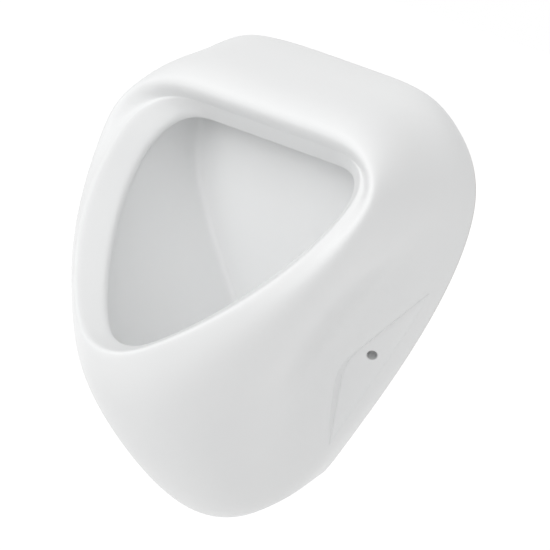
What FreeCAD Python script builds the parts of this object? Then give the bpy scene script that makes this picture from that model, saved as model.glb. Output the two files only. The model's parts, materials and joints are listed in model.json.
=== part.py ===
import FreeCAD, Part
import math
import os
from collections import namedtuple
from FreeCAD import Vector

# Wall hung urinal in vitreous china, with a concealed supply at the top and a bottle trap
# concealed below the bowl. X is to the right when facing the wall, Y goes into the wall and
# Z is up, in millimetres. The origin is where the axis of the waste pipe meets the wall.

# ---------------------------------------------------------------- china body
body_width = 340.0           # wall outline, across its widest part
body_height = 457.0          # wall outline, from the flat top to the tip
top_above_waste = 375.0      # flat top above the waste axis
brow_reach = 130.5           # brow edge from the wall
brow_drop = 35.0             # brow edge below the flat top
lip_reach = 369.0            # front lip from the wall
china = 11.0                 # thickness of the walls

# ---------------------------------------------------------------- opening and rim
opening_top_reach = 118.0    # inner edge under the brow, from the wall
opening_top_drop = 53.3      # and below the flat top
opening_length = 268.7       # along the slope
opening_slope = 37.0         # degrees below level, towards the front
opening_width = 247.0
rim_width = 24.5             # from the inner edge out to the soft ridge
rim_rise = 22.5              # ridge above the plane of the inner edge

# ---------------------------------------------------------------- bowl
bowl_back = 74.0             # top of the flat back wall, from the building wall
bowl_back_lean = 0.10        # the back wall comes forward by this share of its drop
bowl_ceiling_drop = 26.0     # below the flat top
bowl_floor_drop = 309.0      # seat of the waste below the flat top
bowl_heel_reach = 210.0      # where the floor starts to rise towards the lip
bowl_width = 258.0
outlet_china = 12.0          # thickness of the floor at the waste

# ---------------------------------------------------------------- side fixings
pocket_x = 90.4              # foot of the corner on the outer edge of a pocket's floor
pocket_drop = 302.9
pocket_reach = 35.5          # the same point from the wall
pocket_rise = 1.96           # climb of the outer edge for each mm outwards
pocket_lean = 0.25           # how far it nears the wall for each mm outwards
pocket_turn = 35.5           # the floor turns outwards by this angle, in degrees
pocket_low_arm = 96.0        # from the foot of the corner to the lower end
pocket_high_arm = 128.0
pocket_breadth = 36.0        # from the outer edge to the corner, as if the corner were sharp
pocket_corner = 21.0         # half of the stretch that rounds the corner
pocket_depth = 24.0          # reach of its side walls above the floor
pocket_flare = 0.55          # the side walls open by this share of their height
fixing_x = 89.1              # mouth of a fixing hole on the pocket's floor
fixing_drop = 277.8
fixing_turn = 36.0           # the hole runs towards the middle by this angle, in degrees
fixing_bore = 10.8
fixing_boss = 30.0
fixing_length = 40.0         # from the floor to the end of the boss

# ---------------------------------------------------------------- supply
supply_drop = 50.0           # axis below the flat top
supply_bore = 25.0           # hole in the china
spreader_head = 36.0
spreader_head_thick = 8.0
spreader_tail = 23.6
spreader_bore = 18.0
spreader_tail_end = 38.0     # rear end of the tail, from the wall
supply_gasket_thick = 2.5
supply_china = 15.0          # thickness of the china at its boss
supply_boss = 47.0
supply_nut_across = 32.0
supply_nut_thick = 8.0
supply_washer_thick = 1.5
supply_union_across = 30.0
supply_union_lip = 4.0       # wall of the union nut that holds the seal in
cone_seal_length = 8.0
supply_pipe_bore = 12.0
supply_pipe_across = 15.0
supply_pipe_end = 24.0       # how far the pipe enters the building wall
supply_mark_reach = 26.0     # front of the groove that marks its depth in the nut, from the wall
supply_mark_wide = 1.0
supply_mark_deep = 0.4

# ---------------------------------------------------------------- waste and trap
waste_reach = 145.0          # axis of the trap from the wall
waste_bore = 44.0            # hole in the china
waste_boss = 72.0
flange_across = 62.0
flange_thick = 3.0
tail_across = 40.0
tail_bore = 34.0
tail_end = 30.0              # lower end of the tail above the waste axis
waste_gasket_thick = 2.0
lower_gasket_thick = 3.0
lock_nut_across = 56.0
lock_nut_thick = 8.0
strainer_across = 50.0
strainer_lip = 1.5
strainer_collar = 8.0        # length of the collar that centres it in the tail
trap_across = 43.0
trap_wall = 2.5
trap_top = 23.0              # top of the trap body above the waste axis
weir_across = 25.0           # opening from the bottle into the branch
weir_lift = 5.0              # its middle above the waste axis
trap_seam = 31.0             # lower end of the trap body below the waste axis
neck_across = 47.0
neck_height = 14.0           # above the top of the trap body
inlet_nut_across = 54.0
inlet_seal_thick = 3.0
nut_lip = 3.0                # wall of a union nut that bears on its seal
dip_across = 26.0
dip_wall = 1.5
dip_end = 38.0               # mouth of the dip tube below the waste axis
dip_flange_thick = 2.0
dip_seal_thick = 1.0
cup_floor_drop = 48.0        # underside of the cup below the waste axis
cup_collar_across = 48.0
cup_collar_low = 36.0        # collar of the cup, between these two depths
cup_collar_high = 21.0
cup_seal_thick = 2.0
pipe_across = 40.0
pipe_wall = 2.0
pipe_start = 114.0           # front end of the waste pipe from the wall
waste_pipe_end = 30.0        # how far the pipe enters the building wall
socket_across = 47.0
socket_start = 118.0         # socket of the trap, between these two reaches
socket_end = 98.0
branch_nut_across = 54.0
branch_nut_length = 20.0
branch_seal_thick = 4.0
sleeve_across = 54.0
sleeve_front = 6.0           # how far the sleeve stands out of the building wall
sleeve_back = 24.0

# ---------------------------------------------------------------- hangers
hanger_x = 100.0
ledge_drop = 96.0            # ledge that the body hangs from, below the flat top
ledge_height = 24.0
ledge_width = 34.0
ledge_wall_gap = 8.0         # between the ledge and the building wall
hanger_width = 30.0
hanger_plate = 4.0
hanger_reach = 46.0
hanger_height = 74.0
gusset_thick = 4.0
gusset_height = 28.0
hanger_pad_thick = 3.0
screw_across = 8.0
screw_into_wall = 50.0
screw_head_across = 13.0
screw_head_thick = 5.5
screw_low = 10.0             # lower screw above the bottom of the hanger
screw_spacing = 18.0
washer_across = 16.0
washer_thick = 1.6
plug_across = 12.0

# ---------------------------------------------------------------- fits
slide_fit = 0.1              # radial room where one part slides into another
thread_fit = 0.05            # radial room in a screwed joint

z_top = top_above_waste
z_floor = z_top - bowl_floor_drop
half_body = body_width / 2

Section = namedtuple("Section", "top tip half_width corner_run corner_drop tip_radius tip_angle pulls")
POINTS_PER_HALF = 24
HIDDEN_SIDES = 64


# ---------------------------------------------------------------- small helpers
def cylinder(radius, start, end, axis="z", x=0.0, y=0.0, z=0.0):
    """Round bar between two stations on its axis; the other two coordinates place the axis."""
    if axis == "z":
        base, direction = Vector(x, y, start), Vector(0, 0, 1)
    else:
        base, direction = Vector(x, start, z), Vector(0, 1, 0)
    return Part.makeCylinder(radius, end - start, base, direction)


def ring(outer, inner, start, end, axis="z", x=0.0, y=0.0, z=0.0):
    return cylinder(outer, start, end, axis, x, y, z).cut(cylinder(inner, start - 1, end + 1, axis, x, y, z))


def box(x0, x1, y0, y1, z0, z1):
    return Part.makeBox(x1 - x0, y1 - y0, z1 - z0, Vector(x0, y0, z0))


def hexagon(across, start, end, axis="z", x=0.0, y=0.0, z=0.0):
    """Nut blank with its corners just chamfered, on an axis along Z or Y."""
    corner = across / math.sqrt(3)
    points = []
    for step in range(7):
        angle = math.radians(60 * step)
        u, v = corner * math.cos(angle), corner * math.sin(angle)
        points.append(Vector(x + u, y + v, start) if axis == "z" else Vector(x + u, start, z + v))
    direction = Vector(0, 0, end - start) if axis == "z" else Vector(0, end - start, 0)
    blank = Part.Face(Part.makePolygon(points)).extrude(direction)
    return blank.common(cylinder(corner * 0.97, start, end, axis, x, y, z))


def mirrored(shape):
    return shape.mirror(Vector(0, 0, 0), Vector(1, 0, 0))


def joined(first, *others):
    return first.fuse(list(others)).removeSplitter()


def save(name, *solids):
    shape = solids[0] if len(solids) == 1 else Part.makeCompound(list(solids))
    if len(shape.Solids) < 1 or not shape.isValid():
        raise ValueError(name + " is not a closed solid")
    shape.exportStep("parts/" + name + ".step")


# ---------------------------------------------------------------- china skin from sections
def arc_points(centre_x, centre_s, run, drop, start, stop, count):
    points = []
    for step in range(count):
        angle = math.radians(start + (stop - start) * step / (count - 1))
        points.append((centre_x + run * math.sin(angle), centre_s - drop * math.cos(angle)))
    return points


def bezier(a, b, c, d, t):
    u = 1 - t
    return tuple(u ** 3 * p + 3 * u * u * t * q + 3 * u * t * t * r + t ** 3 * s
                 for p, q, r, s in zip(a, b, c, d))


def half_profile(section):
    """Flat top, rounded shoulder, drawn-in side and round tip, as a line of (x, way down)."""
    length = math.dist(section.top, section.tip)
    flat = section.half_width - section.corner_run
    angle = math.radians(section.tip_angle)
    shoulder_end = (section.half_width, section.corner_drop)
    tip_start = (section.tip_radius * math.sin(angle),
                 length - section.tip_radius * (1 - math.cos(angle)))
    side = math.dist(shoulder_end, tip_start)
    upper = (shoulder_end[0], shoulder_end[1] + section.pulls[0] * side)
    lower = (tip_start[0] + math.cos(angle) * section.pulls[1] * side,
             tip_start[1] - math.sin(angle) * section.pulls[1] * side)
    line = [(0.0, 0.0)]
    line += arc_points(flat, section.corner_drop, section.corner_run, section.corner_drop, 0, 90, 24)
    line += [bezier(shoulder_end, upper, lower, tip_start, step / 30) for step in range(1, 30)]
    line += arc_points(0.0, length - section.tip_radius, section.tip_radius, -section.tip_radius,
                       section.tip_angle, 0, 12)
    return line


def even_points(line, count):
    """Spreads count points evenly along a line of points."""
    travelled = [0.0]
    for a, b in zip(line, line[1:]):
        travelled.append(travelled[-1] + math.dist(a, b))
    points = []
    index = 0
    for step in range(count):
        target = travelled[-1] * step / (count - 1)
        while index < len(line) - 2 and travelled[index + 1] < target:
            index += 1
        share = (target - travelled[index]) / (travelled[index + 1] - travelled[index])
        points.append(tuple(p + (q - p) * share for p, q in zip(line[index], line[index + 1])))
    return points


def section_ring(section):
    """Closed ring of control points in the tilted plane of a section."""
    length = math.dist(section.top, section.tip)
    down_y = (section.tip[0] - section.top[0]) / length
    down_z = (section.tip[1] - section.top[1]) / length
    half = even_points(half_profile(section), POINTS_PER_HALF)
    points = [Vector(x, section.top[0] + s * down_y, section.top[1] + s * down_z) for x, s in half]
    return points + [Vector(-p.x, p.y, p.z) for p in reversed(points[1:-1])]


def skin_surface(sections):
    """Smooth skin steered by its sections, with its number of steps around and along."""
    rings = [section_ring(section) for section in sections]
    around = len(rings[0])
    spans = len(rings) - 3
    surface = Part.BSplineSurface()
    surface.buildFromPolesMultsKnots(
        [[points[k] for points in rings] for k in range(around)],
        [1] * (around + 1), [4] + [1] * (spans - 1) + [4],
        [float(k) for k in range(around + 1)], [float(k) for k in range(spans + 1)],
        True, False, 3, 3)
    return surface, around, spans


def skin_solid(sections):
    """Smooth closed skin with a flat lid on its first and its last section."""
    skin = skin_surface(sections)[0].toShape()
    faces = skin.Faces
    faces += [Part.Face(Part.Wire([edge])) for edge in skin.Edges if edge.isClosed()]
    shell = Part.makeShell(faces)
    shell.sewShape()
    solid = Part.makeSolid(shell)
    if solid.Volume < 0:
        solid.reverse()
    return solid


def plain_solid(sections, bands):
    """The same form in narrow straight strips, for the rough walls that only the back shows."""
    surface, around, spans = skin_surface(sections)
    rings = []
    for band in range(bands + 1):
        points = [surface.value(around * side / HIDDEN_SIDES, spans * band / bands)
                  for side in range(HIDDEN_SIDES)]
        rings.append(Part.makePolygon(points + points[:1]))
    return Part.makeLoft(rings, True, True)


# ---------------------------------------------------------------- sections of the body
slope = math.radians(opening_slope)
slope_y, slope_z = -math.cos(slope), -math.sin(slope)
opening_tip_reach = opening_top_reach + opening_length * math.cos(slope)
opening_tip_drop = opening_top_drop + opening_length * math.sin(slope)


def point(reach, drop):
    """Side-view point: reach from the wall, drop below the flat top."""
    return (-reach, z_top - drop)


def rim_section(outward, rise):
    """Outline of the opening, widened in its own plane and lifted square to that plane."""
    lift_y, lift_z = rise * slope_z, -rise * slope_y
    top_out = outward * 0.05
    tip_out = outward * 1.15
    top = (-opening_top_reach - top_out * slope_y + lift_y,
           z_top - opening_top_drop - top_out * slope_z + lift_z)
    tip = (-opening_tip_reach + tip_out * slope_y + lift_y,
           z_top - opening_tip_drop + tip_out * slope_z + lift_z)
    return Section(top, tip, opening_width / 2 + outward, 31.5 + 0.8 * outward, 45.5 + 0.05 * outward,
                   34.0 + outward, 42.0 + 0.1 * outward, (.30 + .004 * outward, .23 + .002 * outward))


def hull_sections(inset=0.0):
    """Outside of the body from the wall to below the ridge; an inset draws all of it inwards."""
    keel = body_height
    return [
        Section(point(0, inset), point(0, keel - 1.6 * inset), half_body - inset,
                106, 93, max(5 - inset, 2), 61, (.27, .17)),
        Section(point(12, inset - 6), point(22, keel + 3 - 1.6 * inset), half_body - inset,
                70, 92, max(11 - inset, 2), 61, (.26, .17)),
        Section(point(41, inset - 8), point(47, keel + 5 - 1.5 * inset), half_body - 1 - inset,
                72, 86, max(20 - inset, 5), 63, (.25, .20)),
        Section(point(68, inset - 6), point(92, keel + 6 - inset), half_body - 2.5 - inset,
                76, 82, 32 - inset, 90, (.23, .64)),
        Section(point(brow_reach - 6.5, inset - 5), point(203, keel - 2 - inset), half_body - 0.5 - inset,
                75, 64, 43 - inset, 83, (.28, .51)),
        Section(point(brow_reach + 21.5 - inset, brow_drop - 22 + inset), point(lip_reach - 25 - inset, 294 - inset),
                half_body + 1.5 - inset, 77, 48, 84 - inset, 57, (.38, .40))]


def bowl_sections(grow=0.0):
    """Inside of the bowl from under the rim to its flat back wall; grow makes the china around it."""
    low = bowl_floor_drop
    lean = bowl_back_lean
    back = bowl_back - grow

    def back_section(forward, inward):
        top_drop = bowl_ceiling_drop + inward - grow
        tip_drop = low - 9 - inward + grow
        return Section(point(back + forward + lean * inward, top_drop),
                       point(back + forward + lean * (tip_drop - top_drop), tip_drop),
                       bowl_width / 2 - 3 + grow - inward, 46, 70, 36, 61, (.26, .20))
    return [
        Section(point(opening_top_reach - 8, opening_top_drop - 14 - grow),
                point(opening_tip_reach + grow, opening_tip_drop + 22),
                bowl_width / 2 - 3 + grow, 36, 48, 40 + grow, 45, (.30, .25)),
        Section(point(opening_top_reach - 19, bowl_ceiling_drop - grow),
                point(opening_tip_reach - 22 + grow, low - 34 + grow),
                bowl_width / 2 + grow, 44, 54, 50 + grow, 52, (.30, .30)),
        Section(point(opening_top_reach - 28, bowl_ceiling_drop - grow),
                point(bowl_heel_reach, low + 4 + grow),
                bowl_width / 2 + grow, 46, 62, 46, 60, (.28, .25)),
        back_section(12, 0),
        back_section(0, 0),
        back_section(0, 14)]


def china_blank():
    """Outside, rolled rim, sloping band, inner edge and bowl as one continuous skin."""
    rim = [rim_section(rim_width + 1.5, rim_rise - 3),
           rim_section(rim_width - 3, rim_rise + 2),
           rim_section(rim_width * 0.55, rim_rise * 0.65),
           rim_section(3, 4),
           rim_section(-0.5, -1),
           rim_section(1, -10)]
    return skin_solid(hull_sections() + rim + bowl_sections())


# ---------------------------------------------------------------- fixed places
def y_back_at(drop):
    """Back wall of the bowl at a height below the flat top."""
    return -bowl_back - bowl_back_lean * (drop - bowl_ceiling_drop)


z_supply = z_top - supply_drop
z_fixing = z_top - fixing_drop
z_ledge = z_top - ledge_drop
y_supply_seat = y_back_at(supply_drop - spreader_head / 2) + 0.2
y_supply_rear = y_supply_seat + supply_china
y_waste = -waste_reach
z_outlet_under = z_floor - outlet_china


# ---------------------------------------------------------------- china body
def pocket_plane():
    """Foot of the right pocket's corner, the way up its outer edge, square inwards, and out of the floor."""
    foot = Vector(pocket_x, -pocket_reach, z_top - pocket_drop)
    along = Vector(1, pocket_lean, pocket_rise).normalize()
    turn = math.tan(math.radians(pocket_turn))
    out = Vector(turn, -1, -turn / pocket_rise)
    out = (out - along * out.dot(along)).normalize()
    inwards = out.cross(along)
    if inwards.x > 0:
        inwards = inwards * -1
    return foot, along, inwards, out


def pocket_outline(height, around=0.0):
    """Flat triangle with a rounded corner, wider the higher it is above the floor."""
    foot, along, inwards, out = pocket_plane()
    growth = 1 + (pocket_flare * max(height, 0) + around) / pocket_breadth
    low_arm, high_arm, apex = pocket_low_arm * growth, pocket_high_arm * growth, pocket_breadth * growth
    room = 30.0

    def at(a, b):
        return foot + along * a + inwards * b + out * height
    low, high = at(-low_arm, 0), at(high_arm, 0)
    near = at(-pocket_corner, apex * (1 - pocket_corner / low_arm))
    far = at(pocket_corner, apex * (1 - pocket_corner / high_arm))
    bend = (near + far) * 0.25 + at(0, apex) * 0.5
    outer_low, outer_high = at(-low_arm, -room), at(high_arm, -room)
    edges = [Part.LineSegment(low, near), Part.Arc(near, bend, far), Part.LineSegment(far, high),
             Part.LineSegment(high, outer_high), Part.LineSegment(outer_high, outer_low),
             Part.LineSegment(outer_low, low)]
    return Part.Wire([edge.toShape() for edge in edges])


def pocket_cutter():
    return Part.makeLoft([pocket_outline(0), pocket_outline(pocket_depth)], True, True)


def pocket_backing():
    """China kept behind the floor and the side walls of the right pocket."""
    behind = Part.Face(pocket_outline(0, china)).extrude(pocket_plane()[3] * -china)
    beside = Part.makeLoft([pocket_outline(0, china), pocket_outline(pocket_depth, china)], True, True)
    return behind.fuse(beside)


def fixing_cylinder(radius, start, end):
    """Round bar on the axis of the right fixing hole, between two stations behind its mouth."""
    foot, along, inwards, out = pocket_plane()
    x, z = fixing_x, z_fixing
    y = foot.y - (out.x * (x - foot.x) + out.z * (z - foot.z)) / out.y
    turn = math.radians(fixing_turn)
    into = Vector(-math.sin(turn), math.cos(turn), 0)
    return Part.makeCylinder(radius, end - start, Vector(x, y, z) + into * start, into)


def hollow_space():
    """Open back of the body: inside of the outer walls, less the china round bowl, bosses and ledges."""
    sections = hull_sections(china)
    first = sections[0]
    sections[0] = first._replace(top=(1, first.top[1]), tip=(1, first.tip[1]))
    sections.append(rim_section(rim_width - china - 2, -china - 8))
    space = plain_solid(sections, 14)
    fixing_boss_solid = fixing_cylinder(fixing_boss / 2, 0, fixing_length)
    round_bowl = [rim_section(china - 3, 2), rim_section(china - 2, -4)] + bowl_sections(china + 3)
    keep = [plain_solid(round_bowl, 10),
            cylinder(waste_boss / 2, z_outlet_under, z_floor + 10, y=y_waste),
            cylinder(supply_boss / 2, y_supply_seat - 5, y_supply_rear, "y", z=z_supply),
            pocket_backing(), mirrored(pocket_backing()), fixing_boss_solid, mirrored(fixing_boss_solid)]
    for side in (-1, 1):
        keep.append(box(side * hanger_x - ledge_width / 2, side * hanger_x + ledge_width / 2,
                        y_back_at(ledge_drop) + 1, -ledge_wall_gap, z_ledge, z_ledge + ledge_height))
    return space.cut(keep)


def urinal_body():
    body = china_blank().cut(hollow_space())
    fixing_hole = fixing_cylinder(fixing_bore / 2, -pocket_depth, fixing_length + 1)
    cuts = [pocket_cutter(), mirrored(pocket_cutter()), fixing_hole, mirrored(fixing_hole)]
    cuts.append(cylinder(supply_bore / 2, y_supply_seat - 40, 0, "y", z=z_supply))
    cuts.append(cylinder(spreader_head / 2 + 1, y_supply_seat - 25, y_supply_seat, "y", z=z_supply))
    cuts.append(cylinder(waste_bore / 2, z_floor - 20, z_floor + 30, y=y_waste))
    cuts.append(cylinder(flange_across / 2 + 1, z_floor, z_floor + 25, y=y_waste))
    return body.cut(cuts)


# ---------------------------------------------------------------- supply, along Y
y_head_rear = y_supply_seat - supply_gasket_thick
y_head_front = y_head_rear - spreader_head_thick
y_washer_rear = y_supply_rear + supply_washer_thick
y_tail_end = -spreader_tail_end


def supply_spreader():
    """Round head that throws the water down the back wall, with its threaded tail."""
    head = cylinder(spreader_head / 2, y_head_front, y_head_rear, "y", z=z_supply)
    rim = [edge for edge in head.Edges if edge.Curve.TypeId == "Part::GeomCircle"
           and abs(edge.CenterOfMass.y - y_head_front) < 0.01]
    head = head.makeChamfer(2, rim)
    tail = cylinder(spreader_tail / 2, y_head_rear, y_tail_end, "y", z=z_supply)
    face_wall = 2.0
    y_bore = y_head_front + face_wall
    bore = cylinder(spreader_bore / 2, y_bore, y_tail_end, "y", z=z_supply)
    slit_half = 10.0
    slit_wide = 4.0
    slit = box(-slit_half, slit_half, y_bore, y_bore + slit_wide, z_supply - spreader_head, z_supply)
    return joined(head, tail).cut([bore, slit])


def supply_union_nut():
    """Nut on the end of the tail; its lip holds the seal round the pipe."""
    y_lip = y_tail_end + supply_union_lip
    blank = hexagon(supply_union_across, y_tail_end - cone_seal_length - 3, y_lip, "y", z=z_supply)
    thread = cylinder(spreader_tail / 2 + thread_fit, y_tail_end - 30, y_tail_end, "y", z=z_supply)
    passage = cylinder(supply_pipe_across / 2 + 0.4, y_tail_end - 1, y_lip + 1, "y", z=z_supply)
    return blank.cut([thread, passage])


def supply_pipe():
    """Plain pipe from inside the tail to inside the wall, with its shallow depth mark."""
    radius = supply_pipe_across / 2
    y_front = y_tail_end - 2 * cone_seal_length
    pipe = ring(radius, supply_pipe_bore / 2, y_front, supply_pipe_end, "y", z=z_supply)
    mark = ring(radius + 1, radius - supply_mark_deep, -supply_mark_reach,
                -supply_mark_reach + supply_mark_wide, "y", z=z_supply)
    return pipe.cut(mark)


def supply_parts():
    save("supply_gasket", ring(spreader_head / 2, spreader_tail / 2 + 0.2, y_head_rear, y_supply_seat,
                               "y", z=z_supply))
    save("supply_spreader", supply_spreader())
    save("supply_washer", ring(supply_nut_across / 2, spreader_tail / 2 + 0.2, y_supply_rear,
                               y_washer_rear, "y", z=z_supply))
    nut = hexagon(supply_nut_across, y_washer_rear, y_washer_rear + supply_nut_thick, "y", z=z_supply)
    thread = cylinder(spreader_tail / 2 + thread_fit, y_supply_rear, -20, "y", z=z_supply)
    save("supply_lock_nut", nut.cut(thread))
    save("supply_cone_seal", ring(spreader_bore / 2, supply_pipe_across / 2,
                                  y_tail_end - cone_seal_length, y_tail_end, "y", z=z_supply))
    save("supply_union_nut", supply_union_nut())
    save("supply_pipe", supply_pipe())


# ---------------------------------------------------------------- waste, along Z
z_flange = z_floor + waste_gasket_thick
z_flange_top = z_flange + flange_thick
z_lower_gasket = z_outlet_under - lower_gasket_thick
z_lock_nut = z_lower_gasket - lock_nut_thick
z_neck_top = trap_top + neck_height
z_dip_flange = tail_end - dip_seal_thick - dip_flange_thick
tail_radius = tail_across / 2


def waste_flange():
    """Flange with a recess for the strainer, on the threaded tail that goes down through the china."""
    disc = cylinder(flange_across / 2, z_flange, z_flange_top, y=y_waste)
    edge = [e for e in disc.Edges if e.Curve.TypeId == "Part::GeomCircle" and e.CenterOfMass.z > z_flange + 1]
    disc = disc.makeChamfer(flange_thick * 0.5, edge)
    tail = cylinder(tail_radius, tail_end, z_flange, y=y_waste)
    bore = cylinder(tail_bore / 2, tail_end - 1, z_flange_top + 1, y=y_waste)
    recess = cylinder(strainer_across / 2 + slide_fit, z_flange_top - strainer_lip, z_flange_top + 1, y=y_waste)
    return joined(disc, tail).cut([bore, recess])


def strainer():
    """Loose perforated disc with a collar that centres it in the tail."""
    z_plate = z_flange_top - strainer_lip
    collar = tail_bore / 2 - slide_fit
    plate = cylinder(strainer_across / 2, z_plate, z_flange_top, y=y_waste)
    plate = joined(plate, ring(collar, collar - strainer_lip, z_plate - strainer_collar, z_plate, y=y_waste))
    holes = [cylinder(2.5, z_plate - 1, z_flange_top + 1, y=y_waste)]
    for count, circle, radius in ((6, 6.8, 2.3), (9, 12.2, 2.3)):
        for step in range(count):
            angle = 2 * math.pi * step / count
            holes.append(cylinder(radius, z_plate - 1, z_flange_top + 1,
                                  x=circle * math.cos(angle), y=y_waste + circle * math.sin(angle)))
    return plate.cut(holes)


def waste_parts():
    save("waste_gasket", ring(flange_across / 2 - 1, tail_radius + 0.5, z_floor, z_flange, y=y_waste))
    save("waste_flange", waste_flange())
    save("strainer", strainer())
    save("lower_gasket", ring(lock_nut_across / 2 - 1, tail_radius + 0.5, z_lower_gasket, z_outlet_under,
                              y=y_waste))
    nut = hexagon(lock_nut_across, z_lock_nut, z_lower_gasket, y=y_waste)
    save("waste_lock_nut", nut.cut(cylinder(tail_radius + thread_fit, tail_end, z_floor, y=y_waste)))


# ---------------------------------------------------------------- bottle trap
def trap_inlet_nut():
    """Union nut on the neck of the trap, with a lip that bears on the seal round the tail."""
    z_top_nut = z_neck_top + inlet_seal_thick + nut_lip
    z_low_nut = trap_top + 2
    blank = fluted(inlet_nut_across / 2, z_low_nut, z_top_nut, "z", y_waste)
    thread = cylinder(neck_across / 2 + thread_fit, z_low_nut - 1, z_top_nut - nut_lip, y=y_waste)
    return blank.cut([thread, cylinder(tail_radius + 0.3, z_low_nut, z_top_nut + 1, y=y_waste)])


def fluted(radius, start, end, axis, station):
    """Round nut with shallow grip flutes; station is Y of an upright axis or Z of a level one."""
    flutes = 12
    flute = 2.0
    depth = 0.8
    place = {"y": station} if axis == "z" else {"z": station}
    nut = cylinder(radius, start, end, axis, **place)
    cuts = []
    for step in range(flutes):
        angle = 2 * math.pi * (step + 0.5) / flutes
        u = (radius + flute - depth) * math.cos(angle)
        v = (radius + flute - depth) * math.sin(angle)
        if axis == "z":
            cuts.append(cylinder(flute, start - 1, end + 1, axis, x=u, y=station + v))
        else:
            cuts.append(cylinder(flute, start - 1, end + 1, axis, x=u, z=station + v))
    return nut.cut(cuts)


def trap_body():
    """Upper half of the bottle: shell, neck with a shoulder for the dip tube, branch and socket."""
    outer = trap_across / 2
    pipe_radius = pipe_across / 2
    shell = cylinder(outer, -trap_seam, trap_top, y=y_waste)
    neck = cylinder(neck_across / 2, trap_top, z_neck_top, y=y_waste)
    branch = cylinder(pipe_radius, y_waste, -socket_start, "y")
    socket = cylinder(socket_across / 2, -socket_start, -socket_end, "y")
    solid = joined(shell, neck, branch, socket)
    inside = cylinder(outer - trap_wall, -trap_seam - 1, trap_top - trap_wall, y=y_waste)
    passage = cylinder(dip_across / 2 + 0.5, 0, z_neck_top, y=y_waste)
    seat = cylinder(tail_radius + 0.1, z_dip_flange, z_neck_top + 1, y=y_waste)
    weir = cylinder(weir_across / 2, y_waste, y_waste + outer, "y", z=weir_lift)
    branch_bore = cylinder(pipe_radius - pipe_wall, y_waste + outer + 0.5, -socket_end, "y")
    socket_bore = cylinder(pipe_radius + slide_fit, -pipe_start, -socket_end + 1, "y")
    return solid.cut([inside, passage, seat, weir, branch_bore, socket_bore])


def dip_tube():
    flange = cylinder(tail_radius, z_dip_flange, z_dip_flange + dip_flange_thick, y=y_waste)
    tube = cylinder(dip_across / 2, -dip_end, z_dip_flange, y=y_waste)
    bore = cylinder(dip_across / 2 - dip_wall, -dip_end - 1, tail_end, y=y_waste)
    return joined(flange, tube).cut(bore)


def trap_cup():
    """Lower half of the bottle, which unscrews for cleaning."""
    outer = trap_across / 2
    z_step = -trap_seam - cup_seal_thick
    cup = cylinder(outer, -cup_floor_drop, -cup_collar_low, y=y_waste)
    rim = [e for e in cup.Edges if e.Curve.TypeId == "Part::GeomCircle"
           and abs(e.CenterOfMass.z + cup_floor_drop) < 0.01]
    cup = cup.makeChamfer(6, rim)
    collar = fluted(cup_collar_across / 2, -cup_collar_low, -cup_collar_high, "z", y_waste)
    inside = cylinder(outer - trap_wall, -cup_floor_drop + trap_wall, z_step, y=y_waste)
    inner_rim = [e for e in inside.Edges if e.Curve.TypeId == "Part::GeomCircle"
                 and e.CenterOfMass.z < -cup_floor_drop + trap_wall + 0.01]
    inside = inside.makeChamfer(4, inner_rim)
    thread = cylinder(outer + thread_fit, z_step, -cup_collar_high + 1, y=y_waste)
    return joined(cup, collar).cut([inside, thread])


def branch_nut():
    """Union nut on the socket, with a lip that bears on the seal round the waste pipe."""
    y_lip = -socket_end + branch_seal_thick
    y_rear = y_lip + nut_lip
    blank = fluted(branch_nut_across / 2, y_rear - branch_nut_length, y_rear, "y", 0.0)
    thread = cylinder(socket_across / 2 + thread_fit, y_rear - branch_nut_length - 1, y_lip, "y")
    return blank.cut([thread, cylinder(pipe_across / 2 + 0.3, y_lip - 1, y_rear + 1, "y")])


def trap_parts():
    outer = trap_across / 2
    pipe_radius = pipe_across / 2
    save("trap_inlet_nut", trap_inlet_nut())
    save("trap_inlet_seal", ring(neck_across / 2, tail_radius, z_neck_top, z_neck_top + inlet_seal_thick,
                                 y=y_waste))
    save("trap_body", trap_body())
    save("dip_tube", dip_tube())
    save("dip_seal", ring(tail_radius, tail_bore / 2, tail_end - dip_seal_thick, tail_end, y=y_waste))
    save("trap_cup", trap_cup())
    save("trap_cup_seal", ring(outer, outer - trap_wall, -trap_seam - cup_seal_thick, -trap_seam, y=y_waste))
    save("branch_nut", branch_nut())
    save("branch_seal", ring(socket_across / 2, pipe_radius, -socket_end, -socket_end + branch_seal_thick,
                             "y"))
    save("waste_pipe", ring(pipe_radius, pipe_radius - pipe_wall, -pipe_start, waste_pipe_end, "y"))
    save("wall_sleeve", ring(sleeve_across / 2, pipe_radius, -sleeve_front, sleeve_back, "y"))


# ---------------------------------------------------------------- hangers
z_arm_top = z_ledge - hanger_pad_thick
z_arm_low = z_arm_top - hanger_plate
z_hanger_low = z_arm_top - hanger_height
screw_heights = [z_hanger_low + screw_low, z_hanger_low + screw_low + screw_spacing]


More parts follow.
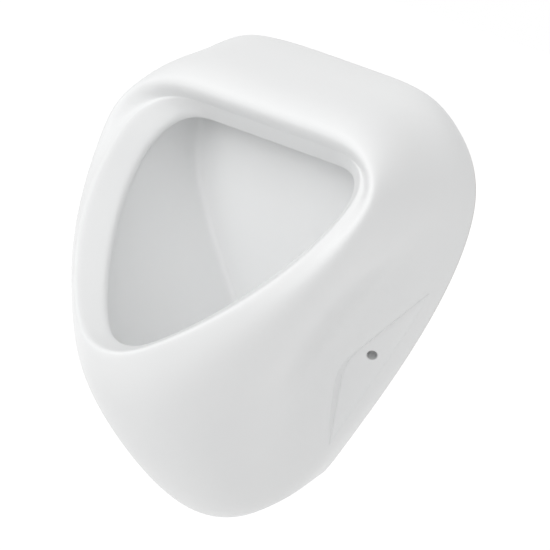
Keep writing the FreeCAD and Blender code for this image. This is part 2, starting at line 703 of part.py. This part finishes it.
def hanger(side):
    """Angle bracket with a gusset; the arm carries the ledge and the plate is screwed to the wall."""
    x0, x1 = side * hanger_x - hanger_width / 2, side * hanger_x + hanger_width / 2
    arm = box(x0, x1, -hanger_reach, 0, z_arm_low, z_arm_top)
    plate = box(x0, x1, -hanger_plate, 0, z_hanger_low, z_arm_low)
    x_gusset = side * hanger_x - gusset_thick / 2
    corners = [Vector(x_gusset, -hanger_plate, z_arm_low),
               Vector(x_gusset, -hanger_reach + 4, z_arm_low),
               Vector(x_gusset, -hanger_plate, z_arm_low - gusset_height)]
    gusset = Part.Face(Part.makePolygon(corners + corners[:1])).extrude(Vector(gusset_thick, 0, 0))
    bracket = joined(arm, plate, gusset)
    corners_to_round = [e for e in bracket.Edges if e.Length < hanger_plate + 0.01
                        and abs(e.CenterOfMass.x - side * hanger_x) > hanger_width / 2 - 0.01
                        and (e.CenterOfMass.z < z_hanger_low + 1 or e.CenterOfMass.y < -hanger_reach + 1)]
    bracket = bracket.makeFillet(4, corners_to_round)
    return bracket.cut([cylinder(screw_across / 2 + 0.5, -hanger_reach, 1, "y", side * hanger_x, z=z)
                        for z in screw_heights])


def screw(x, z):
    """Hexagon head, shank and point, driven straight into the wall."""
    y_under_head = -hanger_plate - washer_thick
    point_length = 8.0
    head = hexagon(screw_head_across, y_under_head - screw_head_thick, y_under_head, "y", x, z=z)
    shank = cylinder(screw_across / 2, y_under_head, screw_into_wall - point_length, "y", x, z=z)
    tip = Part.makeCone(screw_across / 2, 1, point_length, Vector(x, screw_into_wall - point_length, z),
                        Vector(0, 1, 0))
    return joined(head, shank, tip)


def plug(x, z):
    """Wall plug with a collar and two slots that let it spread."""
    end = screw_into_wall + 2
    body = ring(plug_across / 2, screw_across / 2 + thread_fit, 0, end, "y", x, z=z)
    slot = box(x - 0.6, x + 0.6, 12, end + 1, z - plug_across, z + plug_across)
    return body.cut(slot)


def hanger_parts():
    save("hanger_left", hanger(-1))
    save("hanger_right", hanger(1))
    save("hanger_pads", *[box(side * hanger_x - hanger_width / 2, side * hanger_x + hanger_width / 2,
                              -hanger_reach + 2, -ledge_wall_gap - 2, z_arm_top, z_ledge)
                          for side in (-1, 1)])
    places = [(side * hanger_x, z) for side in (-1, 1) for z in screw_heights]
    save("hanger_washers", *[ring(washer_across / 2, screw_across / 2 + 0.3, -hanger_plate - washer_thick,
                                  -hanger_plate, "y", x, z=z) for x, z in places])
    save("hanger_screws", *[screw(x, z) for x, z in places])
    save("wall_plugs", *[solid for x, z in places for solid in plug(x, z).Solids])


# ---------------------------------------------------------------- build
os.makedirs("parts", exist_ok=True)
save("urinal_body", urinal_body())
supply_parts()
waste_parts()
trap_parts()
hanger_parts()
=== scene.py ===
import bmesh
import bpy
import json
import math
from mathutils import Matrix, Vector

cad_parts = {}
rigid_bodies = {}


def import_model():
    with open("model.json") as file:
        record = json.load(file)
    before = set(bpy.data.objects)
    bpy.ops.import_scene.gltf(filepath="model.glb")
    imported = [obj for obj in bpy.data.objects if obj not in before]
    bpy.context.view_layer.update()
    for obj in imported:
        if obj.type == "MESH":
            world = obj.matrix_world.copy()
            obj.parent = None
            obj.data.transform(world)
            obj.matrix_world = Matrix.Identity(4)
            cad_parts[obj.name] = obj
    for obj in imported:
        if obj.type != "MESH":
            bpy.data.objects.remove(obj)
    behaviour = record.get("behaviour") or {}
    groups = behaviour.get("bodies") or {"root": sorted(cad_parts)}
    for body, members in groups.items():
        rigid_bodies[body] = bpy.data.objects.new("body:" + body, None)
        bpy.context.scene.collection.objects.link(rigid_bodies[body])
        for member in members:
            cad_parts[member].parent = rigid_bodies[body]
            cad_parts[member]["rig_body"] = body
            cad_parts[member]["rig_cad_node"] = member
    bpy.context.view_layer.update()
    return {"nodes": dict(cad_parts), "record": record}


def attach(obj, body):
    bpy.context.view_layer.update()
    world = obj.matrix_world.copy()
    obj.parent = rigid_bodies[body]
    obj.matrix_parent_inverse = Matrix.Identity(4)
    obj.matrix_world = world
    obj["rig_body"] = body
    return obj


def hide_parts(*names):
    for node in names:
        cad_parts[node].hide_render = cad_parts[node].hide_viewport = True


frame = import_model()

# Looks of the wall hung urinal: glazed china body, its concealed fittings, a plain white
# studio and the camera. Lengths are in metres in the frame's own axes: X to the right when
# facing the wall, Y into the wall, Z up, with the origin on the axis of the waste outlet.

# ---------------------------------------------------------------- camera
view_azimuth = math.radians(37.36)
view_elevation = math.radians(21.91)
view_roll = math.radians(4.48)
view_distance = 9.0
view_limit = 100.0
picture_side = 0.550          # width of the picture at the object
film_side = 36.0              # in millimetres
flat_top_height = 0.375       # flat top of the body above the waste outlet
aim_left = 0.0755             # from its middle on the wall to the middle of the picture
aim_down = 0.2130

# ---------------------------------------------------------------- studio
white = (1.0, 1.0, 1.0, 1.0)
sky_strength = 0.6            # plain level of the surround as light
floor_height = -0.46
floor_side = 4.0
floor_pale = (0.9, 0.9, 0.9, 1.0)
floor_near = (0.35, 0.2)      # distance from the floor's middle, and the white added there
floor_far = (0.95, 0.42)      # the same further out, where no shadow falls
light_target = (0.0, -0.15, 0.15)
key_place = (-0.45, -2.85, 2.7)
key_side = 3.2
key_power = 66.0
fill_place = (2.4, -1.6, 1.9)
fill_side = 3.0
fill_power = 12.0

# ---------------------------------------------------------------- china
china_white = (0.86, 0.865, 0.865, 1.0)
china_cloudy = (0.845, 0.852, 0.855, 1.0)
bisque = (0.78, 0.76, 0.72, 1.0)
bisque_roughness = 0.85
glaze_starts = -0.0012        # Y where the glaze is whole, near the wall
glaze_ends = -0.0004          # Y where the ground edge is bare
glaze_roughness = (0.28, 0.36)
glaze_index = 1.5
glaze_coat = 0.25
glaze_coat_roughness = 0.2
china_clouds = dict(Size=0.09, Contrast=0.25)
china_waves = dict(Wave_Size=0.07, Depth=0.0004, Grain_Size=0.0016, Grain_Depth=0.000004,
                   Edge_Radius=0.002)
weld_distance = 0.000005      # joins the corners of neighbouring faces
fold_angle = math.radians(32)     # a sharper bend inside a face shows as an edge
border_angle = math.radians(6)    # and one between two faces of the solid

# ---------------------------------------------------------------- metal, rubber and plastic
metal_clouds = dict(Size=0.012, Contrast=0.3)
metal_waves = dict(Wave_Size=0.01, Depth=0.00001, Grain_Depth=0.000003)
metal_gloss_spread = 0.3      # share of the roughness that the fine lines add or take
soft_clouds = dict(Size=0.015, Contrast=0.3)
soft_waves = dict(Wave_Size=0.02, Depth=0.00003)
soft_gloss_spread = 0.15
soft_index = 1.48

# ---------------------------------------------------------------- sockets known by number
mix_factor = 0                # inputs of a mix node, for numbers and for colours
mix_first_number, mix_second_number = 2, 3
mix_first_colour, mix_second_colour = 6, 7
mixed_number, mixed_colour = 0, 2


# ---------------------------------------------------------------- small helpers
def new_group(name, inputs, outputs):
    """Empty shader group with named sockets; gives the group, its input and its output node."""
    group = bpy.data.node_groups.new(name, "ShaderNodeTree")
    for label, kind, value in inputs:
        socket = group.interface.new_socket(name=label, in_out="INPUT", socket_type=kind)
        socket.default_value = value
    for label, kind in outputs:
        group.interface.new_socket(name=label, in_out="OUTPUT", socket_type=kind)
    entry = group.nodes.new("NodeGroupInput")
    leave = group.nodes.new("NodeGroupOutput")
    return group, entry, leave


def new_material(name):
    """Material with one Principled shader; gives the material, its nodes, links and shader."""
    material = bpy.data.materials.new(name)
    material.use_nodes = True
    nodes, links = material.node_tree.nodes, material.node_tree.links
    return material, nodes, links, nodes["Principled BSDF"]


def place_group(nodes, group, **values):
    """Shared effect in a material; an underscore in a value's name stands for a space."""
    node = nodes.new("ShaderNodeGroup")
    node.node_tree = group
    for label, value in values.items():
        node.inputs[label.replace("_", " ")].default_value = value
    return node


def feed(links, source, socket):
    """Sets a socket to a plain value, or links another socket to it."""
    if isinstance(source, (tuple, float)):
        socket.default_value = source
    else:
        links.new(source, socket)


def mix_colour(nodes, links, mask, first, second):
    """Blend of two colours, plain or from sockets, by a mask socket."""
    mix = nodes.new("ShaderNodeMix")
    mix.data_type = "RGBA"
    links.new(mask, mix.inputs[mix_factor])
    feed(links, first, mix.inputs[mix_first_colour])
    feed(links, second, mix.inputs[mix_second_colour])
    return mix.outputs[mixed_colour]


def mix_number(nodes, links, mask, first, second):
    """Blend of two numbers, plain or from sockets, by a mask socket."""
    mix = nodes.new("ShaderNodeMix")
    links.new(mask, mix.inputs[mix_factor])
    feed(links, first, mix.inputs[mix_first_number])
    feed(links, second, mix.inputs[mix_second_number])
    return mix.outputs[mixed_number]


def mix_shader(nodes, links, mask, first, second):
    """Blend of two shader sockets by a mask socket."""
    mix = nodes.new("ShaderNodeMixShader")
    for source, socket in zip((mask, first, second), mix.inputs):
        links.new(source, socket)
    return mix.outputs["Shader"]


def stretched(nodes, links, value, wide, narrow):
    """Maps a socket from the range in wide, plain or from sockets, onto the range in narrow."""
    node = nodes.new("ShaderNodeMapRange")
    links.new(value, node.inputs["Value"])
    for label, source in zip(("From Min", "From Max", "To Min", "To Max"), wide + narrow):
        feed(links, source, node.inputs[label])
    return node.outputs["Result"]


def noise_of_size(nodes, links, place, size, detail):
    """Noise with blots of the size that a socket gives."""
    scale = nodes.new("ShaderNodeMath")
    scale.operation = "DIVIDE"
    scale.inputs[0].default_value = 1.0
    links.new(size, scale.inputs[1])
    noise = nodes.new("ShaderNodeTexNoise")
    noise.inputs["Detail"].default_value = detail
    links.new(place, noise.inputs["Vector"])
    links.new(scale.outputs[0], noise.inputs["Scale"])
    return noise.outputs["Fac"]


def on_object(nodes):
    """Place on the object, which stays with it in every view and pose."""
    return nodes.new("ShaderNodeTexCoord").outputs["Object"]


# ---------------------------------------------------------------- shared surface effects
def make_surface_waves():
    """Soft unevenness of a fired or moulded surface over softened edges, as a normal."""
    group, entry, leave = new_group(
        "surface_waves",
        [("Wave Size", "NodeSocketFloat", 0.05), ("Depth", "NodeSocketFloat", 0.0002),
         ("Grain Size", "NodeSocketFloat", 0.002), ("Grain Depth", "NodeSocketFloat", 0.00001),
         ("Edge Radius", "NodeSocketFloat", 0.0003)],
        [("Normal", "NodeSocketVector")])
    nodes, links = group.nodes, group.links
    place = on_object(nodes)
    soft_edge = nodes.new("ShaderNodeBevel")
    soft_edge.samples = 6
    links.new(entry.outputs["Edge Radius"], soft_edge.inputs["Radius"])
    normal = soft_edge.outputs["Normal"]
    for size, depth, detail in (("Wave Size", "Depth", 1.0), ("Grain Size", "Grain Depth", 3.0)):
        bump = nodes.new("ShaderNodeBump")
        links.new(entry.outputs[depth], bump.inputs["Distance"])
        links.new(noise_of_size(nodes, links, place, entry.outputs[size], detail),
                  bump.inputs["Height"])
        links.new(normal, bump.inputs["Normal"])
        normal = bump.outputs["Normal"]
    links.new(normal, leave.inputs["Normal"])
    return group


def make_patches():
    """Cloudy mask for slow changes of tone or gloss."""
    group, entry, leave = new_group(
        "patches",
        [("Size", "NodeSocketFloat", 0.03), ("Contrast", "NodeSocketFloat", 0.2)],
        [("Mask", "NodeSocketFloat")])
    nodes, links = group.nodes, group.links
    noise = noise_of_size(nodes, links, on_object(nodes), entry.outputs["Size"], 4.0)
    ends = []
    for operation in ("SUBTRACT", "ADD"):
        end = nodes.new("ShaderNodeMath")
        end.operation = operation
        end.inputs[0].default_value = 0.5
        links.new(entry.outputs["Contrast"], end.inputs[1])
        ends.append(end.outputs[0])
    mask = stretched(nodes, links, noise, tuple(ends), (0.0, 1.0))
    links.new(mask, leave.inputs["Mask"])
    return group


def make_brushing():
    """Fine lines left by turning or rolling, along one axis, as a mask."""
    group, entry, leave = new_group(
        "brushing",
        [("Line Size", "NodeSocketFloat", 0.0004), ("Stretch", "NodeSocketVector", (1, 1, 1))],
        [("Mask", "NodeSocketFloat")])
    nodes, links = group.nodes, group.links
    stretch = nodes.new("ShaderNodeVectorMath")
    stretch.operation = "MULTIPLY"
    links.new(on_object(nodes), stretch.inputs[0])
    links.new(entry.outputs["Stretch"], stretch.inputs[1])
    lines = noise_of_size(nodes, links, stretch.outputs["Vector"],
                          entry.outputs["Line Size"], 2.0)
    links.new(lines, leave.inputs["Mask"])
    return group


surface_waves = make_surface_waves()
patches = make_patches()
brushing = make_brushing()


# ---------------------------------------------------------------- materials
def make_glazed_china():
    """White glaze with soft waves; the edge that stands on the wall is ground bare."""
    material, nodes, links, shader = new_material("glazed_china")
    split = nodes.new("ShaderNodeSeparateXYZ")
    links.new(on_object(nodes), split.inputs[0])
    bare = stretched(nodes, links, split.outputs["Y"], (glaze_starts, glaze_ends), (0.0, 1.0))
    clouds = place_group(nodes, patches, **china_clouds).outputs["Mask"]
    glaze = mix_colour(nodes, links, clouds, china_white, china_cloudy)
    links.new(mix_colour(nodes, links, bare, glaze, bisque), shader.inputs["Base Color"])
    gloss = stretched(nodes, links, clouds, (0.0, 1.0), glaze_roughness)
    links.new(mix_number(nodes, links, bare, gloss, bisque_roughness),
              shader.inputs["Roughness"])
    waves = place_group(nodes, surface_waves, **china_waves)
    links.new(waves.outputs["Normal"], shader.inputs["Normal"])
    shader.inputs["IOR"].default_value = glaze_index
    shader.inputs["Coat Weight"].default_value = glaze_coat
    shader.inputs["Coat Roughness"].default_value = glaze_coat_roughness
    return material


def make_metal(name, colour, dark, roughness, line_size, stretch):
    """Bare or plated metal with fine lines and slightly uneven gloss."""
    material, nodes, links, shader = new_material(name)
    lines = place_group(nodes, brushing, Line_Size=line_size, Stretch=stretch).outputs["Mask"]
    clouds = place_group(nodes, patches, **metal_clouds).outputs["Mask"]
    links.new(mix_colour(nodes, links, clouds, colour, dark), shader.inputs["Base Color"])
    gloss = (roughness * (1 - metal_gloss_spread), roughness * (1 + metal_gloss_spread))
    links.new(stretched(nodes, links, lines, (0.0, 1.0), gloss), shader.inputs["Roughness"])
    waves = place_group(nodes, surface_waves, Grain_Size=line_size, **metal_waves)
    links.new(waves.outputs["Normal"], shader.inputs["Normal"])
    shader.inputs["Metallic"].default_value = 1.0
    return material


def make_soft(name, colour, worn, roughness, grain_size, grain_depth):
    """Rubber or plastic with a fine grain and cloudy gloss."""
    material, nodes, links, shader = new_material(name)
    clouds = place_group(nodes, patches, **soft_clouds).outputs["Mask"]
    links.new(mix_colour(nodes, links, clouds, colour, worn), shader.inputs["Base Color"])
    gloss = (roughness * (1 - soft_gloss_spread), roughness * (1 + soft_gloss_spread))
    links.new(stretched(nodes, links, clouds, (0.0, 1.0), gloss), shader.inputs["Roughness"])
    waves = place_group(nodes, surface_waves, Grain_Size=grain_size, Grain_Depth=grain_depth,
                        **soft_waves)
    links.new(waves.outputs["Normal"], shader.inputs["Normal"])
    shader.inputs["IOR"].default_value = soft_index
    return material


materials = {
    "glazed_china": make_glazed_china(),
    "chrome": make_metal(
        "chrome", colour=(0.72, 0.73, 0.75, 1.0), dark=(0.66, 0.67, 0.69, 1.0),
        roughness=0.1, line_size=0.0005, stretch=(1, 1, 6)),
    "brass": make_metal(
        "brass", colour=(0.70, 0.52, 0.24, 1.0), dark=(0.60, 0.43, 0.19, 1.0),
        roughness=0.3, line_size=0.0004, stretch=(1, 1, 8)),
    "steel": make_metal(
        "steel", colour=(0.60, 0.61, 0.62, 1.0), dark=(0.50, 0.51, 0.51, 1.0),
        roughness=0.36, line_size=0.0005, stretch=(8, 1, 1)),
    "rubber": make_soft(
        "rubber", colour=(0.03, 0.03, 0.032, 1.0), worn=(0.05, 0.05, 0.05, 1.0),
        roughness=0.7, grain_size=0.0006, grain_depth=0.00004),
    "white_plastic": make_soft(
        "white_plastic", colour=(0.80, 0.80, 0.78, 1.0), worn=(0.76, 0.76, 0.73, 1.0),
        roughness=0.34, grain_size=0.0005, grain_depth=0.00001),
    "grey_plastic": make_soft(
        "grey_plastic", colour=(0.36, 0.37, 0.38, 1.0), worn=(0.31, 0.32, 0.33, 1.0),
        roughness=0.45, grain_size=0.0005, grain_depth=0.00002),
}
slot_of = {part["node"]: part["material_slot"] for part in frame["record"]["subparts"]}


def dress(piece, slot_name):
    """Gives a piece the material of its slot."""
    piece.data.materials.clear()
    piece.data.materials.append(materials[slot_name])


# ---------------------------------------------------------------- pieces
def only(piece):
    """Selects one piece and nothing else."""
    bpy.ops.object.select_all(action="DESELECT")
    piece.select_set(True)
    bpy.context.view_layer.objects.active = piece


def weld_and_soften(mesh):
    """Joins the separate faces of a solid; their borders stay crisp where they bend at all."""
    shape = bmesh.new()
    shape.from_mesh(mesh)
    for edge in shape.edges:
        edge.smooth = not edge.is_boundary
    bmesh.ops.remove_doubles(shape, verts=shape.verts, dist=weld_distance)
    for face in shape.faces:
        face.smooth = True
    for edge in shape.edges:
        limit = fold_angle if edge.smooth else border_angle
        edge.smooth = edge.calc_face_angle(0) < limit
    shape.to_mesh(mesh)
    shape.free()


def smooth_china():
    """Merged copy of the china body with soft shading over its curved skin."""
    only(frame["nodes"]["urinal_body"])
    bpy.ops.object.duplicate()
    china = bpy.context.view_layer.objects.active
    china.name = "china_skin"
    china.parent = None
    china.matrix_world = Matrix.Identity(4)
    weld_and_soften(china.data)
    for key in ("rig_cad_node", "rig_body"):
        if key in china:
            del china[key]
    dress(china, "glazed_china")
    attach(china, "urinal")
    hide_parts("urinal_body")


for name, node in frame["nodes"].items():
    dress(node, slot_of[name])
smooth_china()


# ---------------------------------------------------------------- floor, surround and lamps
def seen_by_eye(nodes, links):
    """One for what the camera sees straight, mirrored or through something clear, else zero."""
    path = nodes.new("ShaderNodeLightPath")
    seen = path.outputs["Is Camera Ray"]
    for way in ("Is Glossy Ray", "Is Transmission Ray"):
        either = nodes.new("ShaderNodeMath")
        either.operation = "MAXIMUM"
        links.new(seen, either.inputs[0])
        links.new(path.outputs[way], either.inputs[1])
        seen = either.outputs[0]
    return seen


def floor_white(nodes, links):
    """Glow that only the eye sees, weak near the object so that the floor keeps its shadow."""
    flat = nodes.new("ShaderNodeVectorMath")
    flat.operation = "MULTIPLY"
    flat.inputs[1].default_value = (1, 1, 0)
    links.new(on_object(nodes), flat.inputs[0])
    reach = nodes.new("ShaderNodeVectorMath")
    reach.operation = "LENGTH"
    links.new(flat.outputs["Vector"], reach.inputs[0])
    distances, strengths = zip(floor_near, floor_far)
    glow = nodes.new("ShaderNodeEmission")
    links.new(stretched(nodes, links, reach.outputs["Value"], distances, strengths),
              glow.inputs["Strength"])
    dark = nodes.new("ShaderNodeEmission")
    dark.inputs["Strength"].default_value = 0.0
    return mix_shader(nodes, links, seen_by_eye(nodes, links), dark.outputs[0], glow.outputs[0])


def make_floor():
    """Wide pale floor, white to the camera where no shadow falls, and clear from below."""
    bpy.ops.mesh.primitive_plane_add(size=floor_side, location=(0, 0, 0))
    floor = bpy.context.view_layer.objects.active
    floor.name = "studio_floor"
    floor.data.transform(Matrix.Translation((0, 0, floor_height)))
    material = bpy.data.materials.new("studio_floor")
    material.use_nodes = True
    nodes, links = material.node_tree.nodes, material.node_tree.links
    nodes.clear()
    pale = nodes.new("ShaderNodeBsdfDiffuse")
    pale.inputs["Color"].default_value = floor_pale
    both = nodes.new("ShaderNodeAddShader")
    links.new(pale.outputs[0], both.inputs[0])
    links.new(floor_white(nodes, links), both.inputs[1])
    side = nodes.new("ShaderNodeNewGeometry")
    clear = nodes.new("ShaderNodeBsdfTransparent")
    top_only = mix_shader(nodes, links, side.outputs["Backfacing"], both.outputs[0],
                          clear.outputs[0])
    links.new(top_only, nodes.new("ShaderNodeOutputMaterial").inputs["Surface"])
    floor.data.materials.append(material)


def make_sky():
    """Even white surround: full white to the camera, a plain level as light."""
    world = bpy.data.worlds.new("studio")
    bpy.context.scene.world = world
    world.use_nodes = True
    nodes, links = world.node_tree.nodes, world.node_tree.links
    light = nodes["Background"]
    light.inputs["Color"].default_value = white
    light.inputs["Strength"].default_value = sky_strength
    backdrop = nodes.new("ShaderNodeBackground")
    backdrop.inputs["Color"].default_value = white
    surround = mix_shader(nodes, links, seen_by_eye(nodes, links), light.outputs[0],
                          backdrop.outputs[0])
    links.new(surround, nodes["World Output"].inputs["Surface"])


def make_softbox(name, place, side, power):
    """Square lamp aimed at the body, not mirrored in the glaze."""
    light = bpy.data.lights.new(name, "AREA")
    light.shape = "RECTANGLE"
    light.size = light.size_y = side
    light.energy = power
    lamp = bpy.data.objects.new(name, light)
    bpy.context.scene.collection.objects.link(lamp)
    lamp.location = place
    aim = Vector(light_target) - Vector(place)
    lamp.rotation_euler = aim.to_track_quat("-Z", "Y").to_euler()
    lamp.visible_glossy = False


# ---------------------------------------------------------------- the photograph's view
def make_camera():
    """Long lens from the right of the body and above, with the slight tilt of the picture."""
    level = Vector((math.cos(view_azimuth), math.sin(view_azimuth), 0))
    back = Vector((math.sin(view_azimuth) * math.cos(view_elevation),
                   -math.cos(view_azimuth) * math.cos(view_elevation),
                   math.sin(view_elevation)))
    upright = back.cross(level)
    right = level * math.cos(view_roll) + upright * math.sin(view_roll)
    up = upright * math.cos(view_roll) - level * math.sin(view_roll)
    middle = Vector((0, 0, flat_top_height)) - right * aim_left - up * aim_down
    data = bpy.data.cameras.new("camera")
    data.sensor_width = film_side
    data.lens = film_side * view_distance / picture_side
    data.clip_end = view_limit
    camera = bpy.data.objects.new("camera", data)
    bpy.context.scene.collection.objects.link(camera)
    camera.matrix_world = Matrix((
        (right.x, up.x, back.x, 0), (right.y, up.y, back.y, 0),
        (right.z, up.z, back.z, 0), (0, 0, 0, 1)))
    camera.location = middle + back * view_distance
    bpy.context.scene.camera = camera


make_floor()
make_sky()
make_softbox("key", key_place, key_side, key_power)
make_softbox("fill", fill_place, fill_side, fill_power)
make_camera()
bpy.context.scene.view_settings.view_transform = "Standard"
